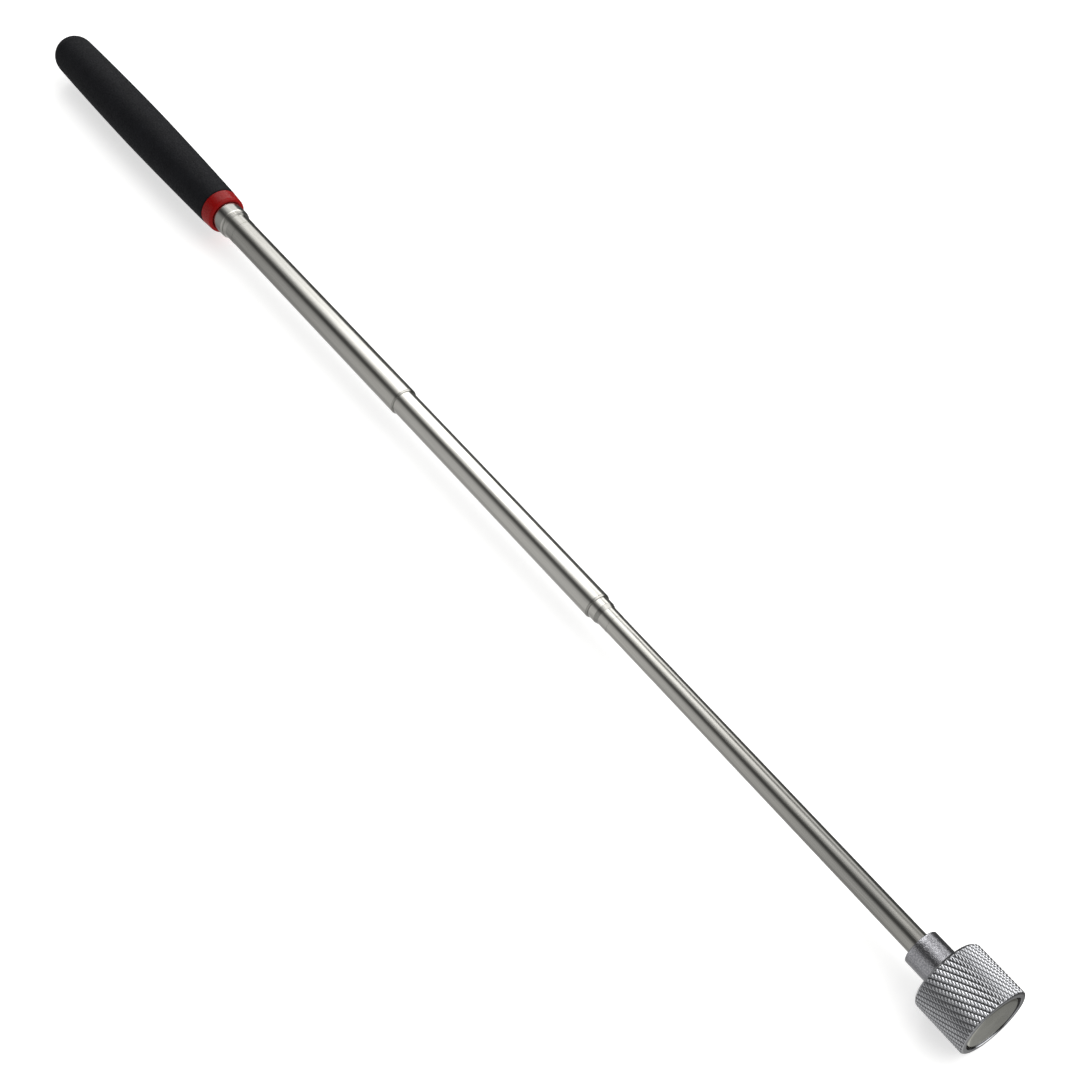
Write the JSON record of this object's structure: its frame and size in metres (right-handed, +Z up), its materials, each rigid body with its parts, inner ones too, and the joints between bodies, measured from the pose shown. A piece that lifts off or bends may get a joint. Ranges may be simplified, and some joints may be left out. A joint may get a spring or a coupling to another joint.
{
  "type": "telescopic magnetic pick-up tool",
  "caption": "Telescoping pick-up tool with a soft round grip, a coloured collar, nested sliding metal tubes and a knurled head that holds a disc magnet.",
  "frame": {"origin": "centre of the bottom of the box round the tool as stored, lying down and partly drawn out", "axes": "+X along the tool from the grip's butt to the magnet's face, +Z up, the tool's own axis 10.95 mm above the origin"},
  "size_m": [0.499, 0.022, 0.0219],
  "materials": {
    "grip": "matte black, fine closed-cell grain",
    "collar": "glossy red",
    "tube": "bright drawn tube with fine lengthwise lines",
    "plug": "plain moulded",
    "brass": "turned",
    "bronze": "rolled spring strip",
    "chrome": "bright plating over a diamond knurl",
    "stud": "turned",
    "nickel": "satin nickel plating, warm grey",
    "spacer": "dark ring"
  },
  "bodies": {
    "handle": {"soft_grip": "grip", "collar_ring": "collar", "outer_tube": "tube", "end_plug": "plug"},
    "section_1": {"section_tube_1": "tube", "base_ferrule_1": "brass", "friction_spring_1": "bronze"},
    "section_2": {"section_tube_2": "tube", "base_ferrule_2": "brass", "friction_spring_2": "bronze"},
    "section_3": {"section_tube_3": "tube", "base_ferrule_3": "brass", "friction_spring_3": "bronze"},
    "section_4": {"section_tube_4": "tube", "base_ferrule_4": "brass", "friction_spring_4": "bronze"},
    "section_5": {"section_tube_5": "tube", "base_ferrule_5": "brass", "friction_spring_5": "bronze", "magnet_head": "chrome", "head_stud": "stud", "magnet_spacer": "spacer", "magnet_disc": "nickel"}
  },
  "joints": [
    {"name": "section_1_slide", "type": "slide", "parent": "handle", "child": "section_1", "axis": [1, 0, 0], "range_m": [0, 0.105]},
    {"name": "section_2_slide", "type": "slide", "parent": "section_1", "child": "section_2", "axis": [1, 0, 0], "range_m": [-0.095, 0.0159]},
    {"name": "section_3_slide", "type": "slide", "parent": "section_2", "child": "section_3", "axis": [1, 0, 0], "range_m": [-0.0967, 0.0201]},
    {"name": "section_4_slide", "type": "slide", "parent": "section_3", "child": "section_4", "axis": [1, 0, 0], "range_m": [-0.0023, 0.1204]},
    {"name": "section_5_slide", "type": "slide", "parent": "section_4", "child": "section_5", "axis": [1, 0, 0], "range_m": [-0.1271, 0.0015]}
  ]
}
